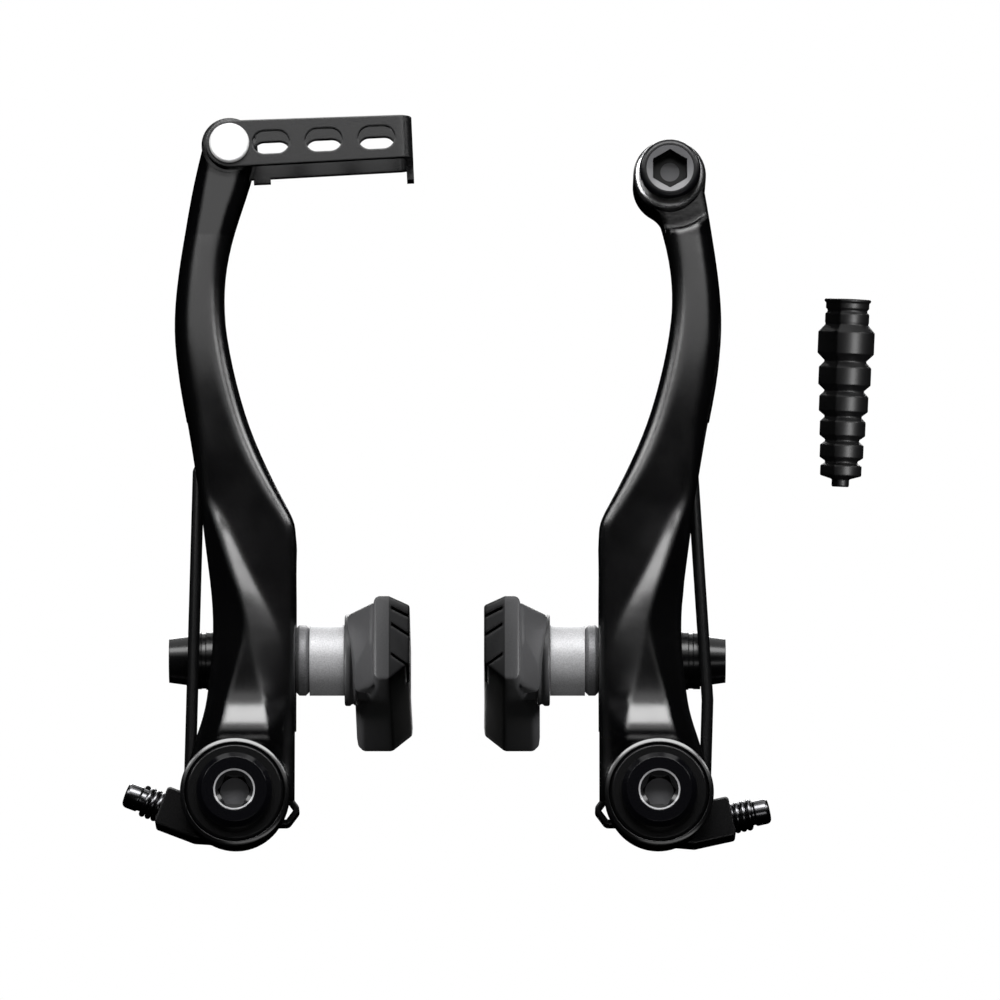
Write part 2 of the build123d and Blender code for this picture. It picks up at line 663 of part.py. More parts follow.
def cable_lead_link():
    """Folded sheet with two slotted cheeks, and a nose with the keyhole for the lead pipe."""
    front, back = rivet_front, rivet_back
    middle = (front + back) / 2
    side = make_face([
        ThreePointArc((0, 0, -link_end_radius), (-link_end_radius, 0, 0), (0, 0, link_end_radius)),
        Line((0, 0, link_end_radius), (link_reach, 0, link_nose_half_height)),
        Line((link_reach, 0, link_nose_half_height), (link_reach, 0, -link_nose_half_height)),
        Line((link_reach, 0, -link_nose_half_height), (0, 0, -link_end_radius)),
    ])
    tall = 3 * link_end_radius

    def channel(inset, bend):
        box = block((-link_reach, front + inset, -tall), (link_reach - inset, back - inset, tall))
        return fillet(box.edges().filter_by(Axis.Z).sort_by(Axis.X)[-2:], bend)

    fold = channel(0, link_bend) - channel(link_sheet, link_bend - link_sheet)
    link = fold & Pos(0, front, 0) * extrude(side, back - front, dir=(0, 1, 0))
    rise_start, rise_end = link_end_radius, link_reach - link_bend
    rise = make_face(Polyline(
        (0, back - link_sheet, 0), (0, back - link_sheet, link_end_radius),
        (rise_start, back - link_sheet, link_end_radius + link_back_rise),
        (rise_end - link_back_rise, back - link_sheet, link_nose_half_height + link_back_rise),
        (rise_end, back - link_sheet, 0), close=True))
    link = link + extrude(rise, link_sheet, dir=(0, 1, 0))
    lip_low, lip_high = -link_nose_half_height - link_lip, -link_nose_half_height + link_lip
    lip = block((link_reach - link_lip_length, back - link_bend - link_lip_width, lip_low),
                (link_reach, back - link_bend, lip_high))
    lip = lip - channel(link_sheet, link_bend - link_sheet) & channel(0, link_bend)
    tab = block((link_tab_start, back - link_sheet, -link_end_radius - link_tab_drop),
                (link_tab_start + link_tab_length, back, 0))
    link = link + lip + tab
    for index in range(link_slots):
        centre = link_slot_first + index * link_slot_pitch
        for depth, lift, width in ((front, 0, link_slot_width),
                                   (back - link_sheet, link_back_slot_lift, link_back_slot_width)):
            slot = Plane((centre, depth, lift), x_dir=(1, 0, 0), z_dir=(0, 1, 0)) * SlotOverall(
                link_slot_length, width)
            link = link - extrude(slot, link_sheet)
    link = link - rod_y(rivet_radius + turning_clearance, front, back)
    link = link - rod_x(lead_hole_radius, link_reach - link_bend, link_reach, middle)
    keyway = block((link_reach - link_bend, middle - lead_slot_width / 2, 0),
                   (link_reach, middle + lead_slot_width / 2, tall))
    return Pos(-link_outset, 0, link_height) * Rot(0, -link_tilt, 0) * (link - keyway)


def cable_clamp_plate():
    """Washer with a shallow groove that presses the cable on the boss."""
    front = cable_boss_front - clamp_plate_thickness
    plate = rod_y(clamp_plate_radius, front, cable_boss_front)
    plate = chamfer(plate.edges().sort_by(Axis.Y)[0], clamp_plate_thickness / 4)
    plate = plate - rod_y(bolt_radius + thread_clearance, front, cable_boss_front)
    lift = bolt_radius + cable_radius + cable_wall
    plate = plate - rod_x(cable_radius, -clamp_plate_radius, clamp_plate_radius, cable_boss_front, lift)
    return Pos(-cable_bolt_outset, 0, cable_bolt_height) * plate


def cable_bolt():
    """Socket bolt with a rounded edge that holds the cable; two flats of its socket stand upright."""
    seat = cable_boss_front - clamp_plate_thickness
    top = seat - cable_head_height
    head = rod_y(cable_head_radius, top, seat)
    head = fillet(head.edges().sort_by(Axis.Y)[0], cable_head_edge)
    bolt = head + rod_y(bolt_radius, seat, cable_boss_front + cable_boss_depth)
    socket = Rot(0, cable_socket_turn, 0) * hexagon_y(cable_socket_width, top, top + cable_socket_depth)
    mouth = socket_mouth(top, cable_mouth_radius, cable_socket_width / 2, cable_mouth_depth)
    return Pos(-cable_bolt_outset, 0, cable_bolt_height) * (bolt - socket - mouth)


def boot():
    """Ribbed rubber boot, open at the top, with a hole for the cable at its tip."""
    length = sum(height for _, height, _ in boot_rings) + boot_tip_length
    lines = [Line((0, length), (boot_rings[0][2], length))]
    level, last = length, boot_rings[0][2]
    for radius, height, groove in boot_rings:
        lines.append(Polyline((last, level), (radius, level - height * boot_bevel),
                              (radius, level - height * (1 - boot_bevel)), (groove, level - height)))
        level, last = level - height, groove
    lines.append(Line((last, level), (boot_tip_radius, 0)))
    lines.append(Line((boot_tip_radius, 0), (0, 0)))
    lines.append(Line((0, 0), (0, length)))
    body = turned(lines, Axis.Y)
    bore = turned([
        Line((0, 0), (boot_hole_radius, 0)),
        Line((boot_hole_radius, 0), (boot_mouth_radius, length)),
        Line((boot_mouth_radius, length), (0, length)),
        Line((0, length), (0, 0)),
    ], Axis.Y)
    shell = Rot(90, 0, 0) * (body - bore)
    return Pos(boot_x, boot_depth, boot_base) * Rot(boot_lean, boot_tilt, 0) * shell


def save(name, piece):
    export_step(piece, "parts/" + name + ".step")


def place(piece, side):
    """Piece drawn for the left, put at its own pivot; the right one is its mirror image."""
    if side == "right":
        return Pos(boss_spacing / 2, 0, 0) * mirror(piece, about=Plane.YZ)
    return Pos(-boss_spacing / 2, 0, 0) * piece


lean = {"left": spring_lean_left, "right": spring_lean_right}
leg_top = {"left": leg_top_left, "right": leg_top_right}
holder_angle = {"left": holder_angle_left, "right": holder_angle_right}

for side in ("left", "right"):
    pieces = {
        "arm": left_arm() if side == "left" else right_arm(),
        "pivot_bush": pivot_bush(),
        "pivot_bolt": pivot_bolt(),
        "pivot_washer": pivot_washer(),
        "spring": spring(lean[side], leg_top[side]),
        "spring_holder": spring_holder(holder_angle[side]),
        "adjust_screw": adjust_screw(holder_angle[side]),
        "spring_hook_pin": spring_hook_pin(),
        "brake_pad": brake_pad(),
        "pad_post": pad_post(),
        "inner_convex_washer": ball_washer(arm_face_inner, convex_rim, washer_radius, 1),
        "thick_spacer": cup_washer(spacer_start, thick_spacer_length, washer_radius,
                                   washer_radius, convex_rim, 1),
        "outer_convex_washer": ball_washer(arm_face_outer, outer_convex_rim, outer_convex_radius, -1),
        "thin_spacer": cup_washer(thin_start, thin_spacer_length, thin_spacer_radius,
                                  outer_convex_radius, outer_convex_rim, -1),
        "plain_washer": on_post(rod_x(plain_washer_radius, plain_end, thin_end)
                                - rod_x(post_radius + bore_clearance, plain_end, thin_end)),
        "pad_nut": pad_nut(),
    }
    for name, piece in pieces.items():
        save(side + "_" + name, place(piece, side))

save("link_rivet", place(link_rivet(), "left"))
save("cable_lead_link", place(cable_lead_link(), "left"))
save("cable_bolt", place(cable_bolt(), "right"))
save("cable_clamp_plate", place(cable_clamp_plate(), "right"))
save("boot", boot())
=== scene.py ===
# Rim brake in black paint: finishes on the imported parts, threaded screws, return springs, hub rims,
# moulded pads and the ribbed boot.
import json
import math
import bmesh
import bpy
from mathutils import Matrix, Vector


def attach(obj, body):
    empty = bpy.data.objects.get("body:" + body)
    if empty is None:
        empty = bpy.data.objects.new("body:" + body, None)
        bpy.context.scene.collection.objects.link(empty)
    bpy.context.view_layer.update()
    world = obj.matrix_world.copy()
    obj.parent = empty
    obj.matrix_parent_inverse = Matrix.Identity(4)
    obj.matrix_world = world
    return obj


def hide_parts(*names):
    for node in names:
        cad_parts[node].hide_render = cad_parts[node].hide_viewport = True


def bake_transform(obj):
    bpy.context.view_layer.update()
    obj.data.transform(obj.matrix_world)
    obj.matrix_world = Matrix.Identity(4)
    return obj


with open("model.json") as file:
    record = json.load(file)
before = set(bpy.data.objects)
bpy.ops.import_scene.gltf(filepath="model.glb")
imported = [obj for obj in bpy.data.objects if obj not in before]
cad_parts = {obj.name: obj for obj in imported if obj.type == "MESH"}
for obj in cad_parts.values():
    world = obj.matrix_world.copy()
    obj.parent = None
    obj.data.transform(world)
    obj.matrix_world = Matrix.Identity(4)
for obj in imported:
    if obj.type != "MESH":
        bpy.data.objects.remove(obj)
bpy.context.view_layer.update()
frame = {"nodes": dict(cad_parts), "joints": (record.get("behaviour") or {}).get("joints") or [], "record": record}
nodes = frame["nodes"]
mm = 0.001
mergeDistance = 2e-6  # metres
bevelRays = 6
sides = ("left", "right")


# small helpers

def hexColour(code):  # sRGB hex to a linear colour
    shares = [int(code[i:i + 2], 16) / 255 for i in (0, 2, 4)]
    return tuple(s / 12.92 if s <= 0.04045 else ((s + 0.055) / 1.055) ** 2.4 for s in shares) + (1.0,)


def addNode(tree, kind, settings=None, inputs=None, links=None):
    node = tree.nodes.new(kind)
    for name, value in (settings or {}).items():
        setattr(node, name, value)
    for name, value in (inputs or {}).items():
        node.inputs[name].default_value = value
    for name, socket in (links or {}).items():
        tree.links.new(socket, node.inputs[name])
    return node


def startMaterial(name):  # an empty material with its shader and the piece's own coordinates
    material = bpy.data.materials.new(name)
    material.use_nodes = True
    tree = material.node_tree
    tree.nodes.clear()
    shader = addNode(tree, "ShaderNodeBsdfPrincipled")
    addNode(tree, "ShaderNodeOutputMaterial", links={"Surface": shader.outputs[0]})
    coords = addNode(tree, "ShaderNodeTexCoord").outputs["Object"]
    return material, tree, shader, coords


def roughen(tree, shader, height, lift, edge):  # lifts the surface by a pattern and softens its edges
    soft = addNode(tree, "ShaderNodeBevel", {"samples": bevelRays}, {"Radius": edge * mm})
    bump = addNode(tree, "ShaderNodeBump", inputs={"Strength": 1.0, "Distance": lift * mm},
                   links={"Height": height, "Normal": soft.outputs["Normal"]})
    tree.links.new(bump.outputs["Normal"], shader.inputs["Normal"])


def grain(size):  # noise scale for a grain of this size in millimetres
    return 1 / (size * mm)


def addPiece(name, mesh, body, material):
    piece = bpy.data.objects.new(name, mesh)
    bpy.context.scene.collection.objects.link(piece)
    mesh.materials.clear()
    mesh.materials.append(material)
    if body is not None:  # a piece given no body stays unattached
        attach(piece, body)
    return piece


# materials, each from what the real surface is

def glossPaint(name, edge):
    # sprayed black enamel on forged aluminium: deep black, soft clear reflections, faint orange peel
    look = {"colour": "070708", "specular": 0.9, "roughLow": 0.16, "roughHigh": 0.2, "patch": 6.0,
            "patchLow": 0.3, "patchHigh": 0.7, "peel": 0.7, "peelHeight": 0.0025, "seatFrom": 96.6,
            "seatBlend": 0.2, "seatRough": 0.07}
    material, tree, shader, coords = startMaterial(name)
    shader.inputs["Base Color"].default_value = hexColour(look["colour"])
    shader.inputs["Specular IOR Level"].default_value = look["specular"]
    patches = addNode(tree, "ShaderNodeTexNoise", inputs={"Scale": grain(look["patch"]), "Detail": 3.0},
                      links={"Vector": coords})
    rough = addNode(tree, "ShaderNodeMapRange",
                    inputs={"From Min": look["patchLow"], "From Max": look["patchHigh"],
                            "To Min": look["roughLow"], "To Max": look["roughHigh"]},
                    links={"Value": patches.outputs["Fac"]})
    height = addNode(tree, "ShaderNodeSeparateXYZ", links={"Vector": coords})
    # the head of the arm is pressed flat and takes the paint smoother than the rest
    smooth = addNode(tree, "ShaderNodeMapRange",
                     inputs={"From Min": (look["seatFrom"] - look["seatBlend"]) * mm,
                             "From Max": (look["seatFrom"] + look["seatBlend"]) * mm,
                             "To Max": look["seatRough"]},
                     links={"Value": height.outputs["Z"], "To Min": rough.outputs["Result"]})
    tree.links.new(smooth.outputs["Result"], shader.inputs["Roughness"])
    peel = addNode(tree, "ShaderNodeTexNoise", inputs={"Scale": grain(look["peel"]), "Detail": 2.0},
                   links={"Vector": coords})
    roughen(tree, shader, peel.outputs["Fac"], look["peelHeight"], edge)
    return material


grainBand = (0.35, 0.65)  # the part of the noise over which the colour shifts


def grainyFinish(look):  # a base with a fine grain, which shifts the colour a little and lifts the surface
    material, tree, shader, coords = startMaterial(look["name"])
    shader.inputs["Metallic"].default_value = look["metallic"]
    shader.inputs["Roughness"].default_value = look["rough"]
    shader.inputs["Specular IOR Level"].default_value = look["specular"]
    speck = addNode(tree, "ShaderNodeTexNoise",
                    inputs={"Scale": grain(look["grain"]), "Detail": 3.0, "Roughness": 0.6},
                    links={"Vector": coords})
    ramp = addNode(tree, "ShaderNodeValToRGB", links={"Fac": speck.outputs["Fac"]})
    for stop, place, colour in zip(ramp.color_ramp.elements, grainBand, look["colours"]):
        stop.position = place
        stop.color = hexColour(colour)
    tree.links.new(ramp.outputs["Color"], shader.inputs["Base Color"])
    roughen(tree, shader, speck.outputs["Fac"], look["height"], look["edge"])
    return material


def socketSteel(name, bolt):
    # black oxide on a turned head, with painted light: a painted highlight ring round the socket's mouth and a
    # painted lit patch on the socket's dark floor
    material, tree, shader, coords = startMaterial(name)
    away = addNode(tree, "ShaderNodeVectorMath", {"operation": "ABSOLUTE"}, links={0: coords})
    moved = addNode(tree, "ShaderNodeVectorMath", {"operation": "SUBTRACT"},
                    links={0: away.outputs["Vector"]})
    moved.inputs[1].default_value = [v * mm for v in bolt["axis"]]
    flat = addNode(tree, "ShaderNodeVectorMath", {"operation": "MULTIPLY"},
                   links={0: moved.outputs["Vector"]})
    flat.inputs[1].default_value = (1.0, 0.0, 1.0)  # across the bolt only
    radius = addNode(tree, "ShaderNodeVectorMath", {"operation": "LENGTH"}, links={0: flat.outputs["Vector"]})
    share = addNode(tree, "ShaderNodeMapRange", inputs={"From Max": bolt["reach"] * mm},
                    links={"Value": radius.outputs["Value"]})
    depth = addNode(tree, "ShaderNodeSeparateXYZ", links={"Vector": coords})
    inside = addNode(tree, "ShaderNodeMath", {"operation": "GREATER_THAN"}, links={0: depth.outputs["Y"]})
    inside.inputs[1].default_value = bolt["mouth"] * mm
    colours = []
    # the pale bands in these ramps are painted light: a highlight ring on the head, a lit patch on the socket
    # floor
    for bands in (bolt["head"], bolt["socket"]):
        ramp = addNode(tree, "ShaderNodeValToRGB", links={"Fac": share.outputs["Result"]})
        stops = ramp.color_ramp.elements
        for i, (start, colour) in enumerate(bands):
            stop = stops[i] if i < 2 else stops.new(1.0)
            stop.position = start / bolt["reach"]
            stop.color = hexColour(colour)
        ramp.color_ramp.interpolation = "CONSTANT"
        colours.append(ramp.outputs["Color"])
    mix = addNode(tree, "ShaderNodeMix", {"data_type": "RGBA"}, links={"Factor": inside.outputs[0]})
    tree.links.new(colours[0], mix.inputs[6])
    tree.links.new(colours[1], mix.inputs[7])
    tree.links.new(mix.outputs[2], shader.inputs["Base Color"])
    shader.inputs["Roughness"].default_value = bolt["rough"]
    shader.inputs["Specular IOR Level"].default_value = bolt["specular"]
    speck = addNode(tree, "ShaderNodeTexNoise", inputs={"Scale": grain(bolt["grain"]), "Detail": 3.0},
                    links={"Vector": coords})
    roughen(tree, shader, speck.outputs["Fac"], bolt["height"], bolt["edge"])
    return material


def padRubber():  # two rubbers moulded together: a dull grey body and a blacker block where the rim rubs
    look = {"body": "333334", "block": "0f0f10", "blockEdge": 9.75, "blockBlend": 0.05, "rough": 0.42,
            "specular": 0.22, "grain": 0.3, "height": 0.008, "edge": 0.6, "shade": 0.25}
    material, tree, shader, coords = startMaterial("mouldedBrakeRubber")
    shader.inputs["Roughness"].default_value = look["rough"]
    shader.inputs["Specular IOR Level"].default_value = look["specular"]
    away = addNode(tree, "ShaderNodeVectorMath", {"operation": "ABSOLUTE"}, links={0: coords})
    across = addNode(tree, "ShaderNodeSeparateXYZ", links={"Vector": away.outputs["Vector"]})
    body = addNode(tree, "ShaderNodeMapRange",
                   inputs={"From Min": (look["blockEdge"] - look["blockBlend"]) * mm,
                           "From Max": (look["blockEdge"] + look["blockBlend"]) * mm},
                   links={"Value": across.outputs["X"]})
    mix = addNode(tree, "ShaderNodeMix", {"data_type": "RGBA"}, links={"Factor": body.outputs["Result"]})
    mix.inputs[6].default_value = hexColour(look["block"])
    mix.inputs[7].default_value = hexColour(look["body"])
    speck = addNode(tree, "ShaderNodeTexNoise", inputs={"Scale": grain(look["grain"]), "Detail": 3.0},
                    links={"Vector": coords})
    dusty = addNode(tree, "ShaderNodeHueSaturation", links={"Color": mix.outputs[2]})
    level = addNode(tree, "ShaderNodeMapRange",
                    inputs={"To Min": 1 - look["shade"], "To Max": 1 + look["shade"]},
                    links={"Value": speck.outputs["Fac"]})
    tree.links.new(level.outputs["Result"], dusty.inputs["Value"])
    tree.links.new(dusty.outputs["Color"], shader.inputs["Base Color"])
    roughen(tree, shader, speck.outputs["Fac"], look["height"], look["edge"])
    return material


# bands out from each bolt's axis: start in millimetres and colour, on the head and inside its socket; the pale
# bands are painted light, a highlight ring at the mouth and a lit socket floor
pivotBolt = {"axis": (35.75, 0.0, 0.0), "mouth": -22.1, "reach": 8.0, "grain": 0.5, "height": 0.002,
             "edge": 0.12, "rough": 0.16, "specular": 0.35,
             # b0b0b2 is a painted highlight on the mouth's chamfer; 5e5e60 is painted light on the socket floor
             "head": [(0.0, "1a1a1b"), (3.2, "b0b0b2"), (3.5, "07070a")],
             "socket": [(0.0, "5e5e60"), (2.42, "0d0d0e")]}
cableBolt = {"axis": (37.85, 0.0, 107.2), "mouth": -21.15, "reach": 6.0, "grain": 0.4, "height": 0.003,
             # 6a6a6c is a painted highlight round the mouth; 58585a is painted light on the socket floor
             "edge": 0.12, "rough": 0.3, "specular": 0.4,
             "head": [(0.0, "1a1a1b"), (2.6, "6a6a6c"), (4.0, "07070a")],
             "socket": [(0.0, "58585a"), (1.6, "050506")]}

# grain, height and edge are in millimetres; a grain too fine for the render is drawn as coarse as shows
grainyLooks = {
    # coated steel sheet: satin black with a wide soft sheen
    "link_paint": {"name": "satinBlackCoatedSteel", "colours": ("101011", "161617"), "rough": 0.27,
                   "metallic": 0.0, "grain": 0.35, "height": 0.002, "edge": 0.3, "specular": 0.8},
    # black oxide on turned steel: near black, thin dull highlights
    "black_bolt": {"name": "blackOxideSteel", "colours": ("060607", "0b0b0c"), "rough": 0.22,
                   "metallic": 0.0, "grain": 0.4, "height": 0.0015, "edge": 0.25, "specular": 0.4},
    # drawn and blackened wire: black with a fine bright line along it
    "spring_wire": {"name": "drawnSpringSteel", "colours": ("09090a", "0e0e0f"), "rough": 0.2,
                    "metallic": 0.0, "grain": 0.5, "height": 0.001, "edge": 0.1, "specular": 0.8},
    # moulded nylon: black and smooth, with soft moulded edges
    "holder_plastic": {"name": "mouldedNylon", "colours": ("060607", "0a0a0b"), "rough": 0.2,
                       "metallic": 0.0, "grain": 0.3, "height": 0.002, "edge": 0.45, "specular": 0.7},
    # zinc plate on turned steel: cool grey metal, a little blurred
    "plain_steel": {"name": "zincPlatedSteel", "colours": ("a9a9a8", "bdbdbb"), "rough": 0.32,
                    "metallic": 1.0, "grain": 0.5, "height": 0.002, "edge": 0.15, "specular": 0.5},
    # pressed and sintered steel: matt mid grey with a gritty face
    "washer_grey": {"name": "sinteredSteel", "colours": ("6e6e70", "8a8a8c"), "rough": 0.5,
                    "metallic": 0.3, "grain": 0.25, "height": 0.006, "edge": 0.3, "specular": 0.5},
    # aluminium tumbled in grit: pale silver with a sandy sparkle
    "spacer_silver": {"name": "tumbledAluminium", "colours": ("b4b4b6", "d2d2d4"), "rough": 0.55,
                      "metallic": 0.3, "grain": 0.22, "height": 0.01, "edge": 0.25, "specular": 0.5},
    # polished rivet head: an almost white disc
    "rivet_bright": {"name": "polishedSteel", "colours": ("ececec", "f2f2f2"), "rough": 0.4,
                     "metallic": 0.2, "grain": 0.8, "height": 0.0005, "edge": 0.2, "specular": 0.5},
    # bright zinc on a pressed plate: mirrors its surroundings, so white on one side and dark on the other
    "clamp_silver": {"name": "brightZincSteel", "colours": ("c8c8ca", "dadadb"), "rough": 0.2,
                     "metallic": 0.95, "grain": 0.4, "height": 0.001, "edge": 0.8, "specular": 0.5},
    # black zinc on a rolled thread: dark metal with bright glints on the crests
    "screw_zinc": {"name": "blackZincScrewSteel", "colours": ("5e5e60", "6c6c6e"), "rough": 0.2,
                   "metallic": 1.0, "grain": 0.4, "height": 0.002, "edge": 0.1, "specular": 0.5},
    # soft moulded rubber: black with a broad dull sheen
    "boot_rubber": {"name": "softBlackRubber", "colours": ("080809", "0c0c0d"), "rough": 0.42,
                    "metallic": 0.0, "grain": 0.4, "height": 0.003, "edge": 0.3, "specular": 0.5},
}
finishes = {slot: grainyFinish(look) for slot, look in grainyLooks.items()}
finishes["arm_paint"] = glossPaint("glossBlackEnamel", 1.4)
finishes["pad_rubber"] = padRubber()

slotOf = {part["node"]: part["material_slot"] for part in frame["record"]["subparts"]}
pivotFinish = socketSteel("pivotOxideSteelPaintedHighlight", pivotBolt)
boltFinish = {"left_pivot_bolt": pivotFinish, "right_pivot_bolt": pivotFinish,
              "cable_bolt": socketSteel("clampOxideSteelPaintedHighlight", cableBolt)}
for name, node in nodes.items():
    node.data.materials.clear()
    node.data.materials.append(boltFinish.get(name, finishes[slotOf[name]]))
print("finishes:", len(finishes))


# lathe and thread trees

def newTree(name, sockets):  # a geometry tree with named inputs and one geometry output
    tree = bpy.data.node_groups.new(name, "GeometryNodeTree")
    tree.interface.new_socket("Geometry", in_out="INPUT", socket_type="NodeSocketGeometry")
    for label, kind, value in sockets:
        socket = tree.interface.new_socket(label, in_out="INPUT", socket_type=kind)
        if value is not None:
            socket.default_value = value
    tree.interface.new_socket("Geometry", in_out="OUTPUT", socket_type="NodeSocketGeometry")
    return tree, addNode(tree, "NodeGroupInput")


def closeTree(tree, source, geometry):
    real = addNode(tree, "GeometryNodeRealizeInstances", links={"Geometry": geometry})
    dressed = addNode(tree, "GeometryNodeSetMaterial",
                      links={"Geometry": real.outputs[0], "Material": source.outputs["Material"]})
    addNode(tree, "NodeGroupOutput", links={"Geometry": dressed.outputs[0]})


def latheTree():  # turns an outline of (radius, height) points round Z, with its corners rounded
    tree, source = newTree("lathe", [
        ("Corner Radius", "NodeSocketFloat", 0.0003), ("Corner Steps", "NodeSocketInt", 3),
        ("Segments", "NodeSocketInt", 96), ("Material", "NodeSocketMaterial", None)])
    outline = addNode(tree, "GeometryNodeMeshToCurve", links={"Mesh": source.outputs["Geometry"]})
    rounded = addNode(tree, "GeometryNodeFilletCurve", {"mode": "POLY"}, {"Limit Radius": True},
                      {"Curve": outline.outputs[0], "Radius": source.outputs["Corner Radius"],
                       "Count": source.outputs["Corner Steps"]})
    # the circle is almost a point, because the outline holds the radius
    turn = addNode(tree, "GeometryNodeCurvePrimitiveCircle", inputs={"Radius": 1e-7},
                   links={"Resolution": source.outputs["Segments"]})
    skin = addNode(tree, "GeometryNodeCurveToMesh",
                   links={"Curve": turn.outputs["Curve"], "Profile Curve": rounded.outputs[0]})
    closeTree(tree, source, skin.outputs[0])
    return tree


def threadTree():  # adds a rolled thread, a bead along a helix, to the bare screw it is given
    tree, source = newTree("rolledThread", [
        ("Thread Radius", "NodeSocketFloat", 0.0022), ("Bead Radius", "NodeSocketFloat", 0.0005),
        ("Turns", "NodeSocketFloat", 8.0), ("Length", "NodeSocketFloat", 0.009),
        ("Material", "NodeSocketMaterial", None)])
    helix = addNode(tree, "GeometryNodeCurveSpiral", inputs={"Resolution": 48},
                    links={"Rotations": source.outputs["Turns"],
                           "Start Radius": source.outputs["Thread Radius"],
                           "End Radius": source.outputs["Thread Radius"],
                           "Height": source.outputs["Length"]})
    bead = addNode(tree, "GeometryNodeCurvePrimitiveCircle", inputs={"Resolution": 12},
                   links={"Radius": source.outputs["Bead Radius"]})
    ridge = addNode(tree, "GeometryNodeCurveToMesh", inputs={"Fill Caps": True},
                    links={"Curve": helix.outputs[0], "Profile Curve": bead.outputs[0]})
    both = addNode(tree, "GeometryNodeJoinGeometry", links={"Geometry": source.outputs["Geometry"]})
    tree.links.new(ridge.outputs[0], both.inputs["Geometry"])
    closeTree(tree, source, both.outputs[0])
    return tree


def growMesh(name, start, tree, values):  # runs one tree on a start mesh and returns a plain mesh
    holder = bpy.data.objects.new(name + "Start", start)
    bpy.context.scene.collection.objects.link(holder)
    modifier = holder.modifiers.new(tree.name, "NODES")
    modifier.node_group = tree
    for item in tree.interface.items_tree:
        if item.in_out == "INPUT" and item.name in values:
            modifier[item.identifier] = values[item.name]
    graph = bpy.context.evaluated_depsgraph_get()
    mesh = bpy.data.meshes.new_from_object(holder.evaluated_get(graph))
    mesh.name = name
    holder.modifiers.remove(modifier)
    bpy.data.objects.remove(holder)
    return mesh


def outlineMesh(points, closed=False):
    # the lathe runs an outline's second number downwards, so it is turned round here
    mesh = bpy.data.meshes.new("outline")
    corners = [(radius * mm, -height * mm, 0) for radius, height in points]
    edges = [(i, i + 1) for i in range(len(corners) - 1)]
    if closed:
        edges.append((len(corners) - 1, 0))
    mesh.from_pydata(corners, edges, [])
    return mesh


def tidyMesh(mesh, place=None):  # merges seams and poles, sets the place and points the faces outwards
    work = bmesh.new()
    work.from_mesh(mesh)
    bmesh.ops.remove_doubles(work, verts=work.verts, dist=mergeDistance)
    if place is not None:
        bmesh.ops.transform(work, matrix=place, verts=work.verts)
    bmesh.ops.recalc_face_normals(work, faces=work.faces)  # last, because a mirrored place turns faces round
    for face in work.faces:
        face.smooth = True
    work.to_mesh(mesh)
    work.free()
    return mesh


lathe = latheTree()
thread = threadTree()


# tension screws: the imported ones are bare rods, these have their thread
screwSizes = {"threadRadius": 2.7, "bead": 0.52, "pitch": 1.05, "start": 6.3, "end": 15.5, "coreGap": 0.25,
              "tipRadius": 2.2, "tip": 2.7, "tipRound": 0.8, "tipStep": 0.15, "cornerSteps": 6,
              "segments": 64}


def screwMesh(side):
    sizes = screwSizes
    joint = next(j for j in frame["joints"] if j["name"] == side + "_screw_turn")
    core = sizes["threadRadius"] - sizes["bead"] - sizes["coreGap"]
    top = sizes["end"] + sizes["tip"]
    bare = growMesh(side + "ScrewCore", outlineMesh([
        (0, sizes["start"]), (core, sizes["start"]), (core, sizes["end"]),
        (sizes["tipRadius"], sizes["end"] + sizes["tipStep"]), (sizes["tipRadius"], top), (0, top)]), lathe,
        {"Corner Radius": sizes["tipRound"] * mm, "Corner Steps": sizes["cornerSteps"],
         "Segments": sizes["segments"], "Material": finishes["screw_zinc"]})
    bare.transform(Matrix.Translation((0, 0, -sizes["start"] * mm - sizes["bead"] * mm)))
    length = sizes["end"] - sizes["start"] - 2 * sizes["bead"]
    mesh = growMesh(side + "Screw", bare, thread, {
        "Thread Radius": (sizes["threadRadius"] - sizes["bead"]) * mm, "Bead Radius": sizes["bead"] * mm,
        "Turns": length / sizes["pitch"], "Length": length * mm, "Material": finishes["screw_zinc"]})
    axis = Vector(joint["axis"]).normalized()
    turn = axis.to_track_quat("Z", "Y").to_matrix().to_4x4()
    start = Vector(joint["pos_m"]) + axis * (sizes["start"] + sizes["bead"]) * mm
    return tidyMesh(mesh, Matrix.Translation(start) @ turn)


for side in sides:
    screw = addPiece(side + "TensionScrew", screwMesh(side), side + "_screw",
                     finishes["screw_zinc"])
    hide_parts(side + "_adjust_screw")
print("tension screws: threads on", len(sides))


# return springs: a smoothed copy of the imported shape, attached to no body
springSizes = {"bendStart": 17.5, "bendEnd": 54.0, "sharp": 35.0}
for side in sides:
    mesh = tidyMesh(nodes[side + "_spring"].data.copy())
    mesh.set_sharp_from_angle(angle=math.radians(springSizes["sharp"]))
    spring = addPiece(side + "ReturnSpring", mesh, None, finishes["spring_wire"])
    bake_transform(spring)
    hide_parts(side + "_spring")
print("return springs:", len(sides))


# hub rims: the raised lip that each arm has round its pivot washer
rimSizes = {"pivot": 35.75, "back": -18.9, "front": -20.15, "inner": 8.42, "innerDrop": 0.1, "crest": 8.5,
            "outer": 9.2, "slope": 0.2, "corner": 0.06, "cornerSteps": 3, "segments": 128}
lipPaint = glossPaint("glossBlackEnamelLip", 0.1)


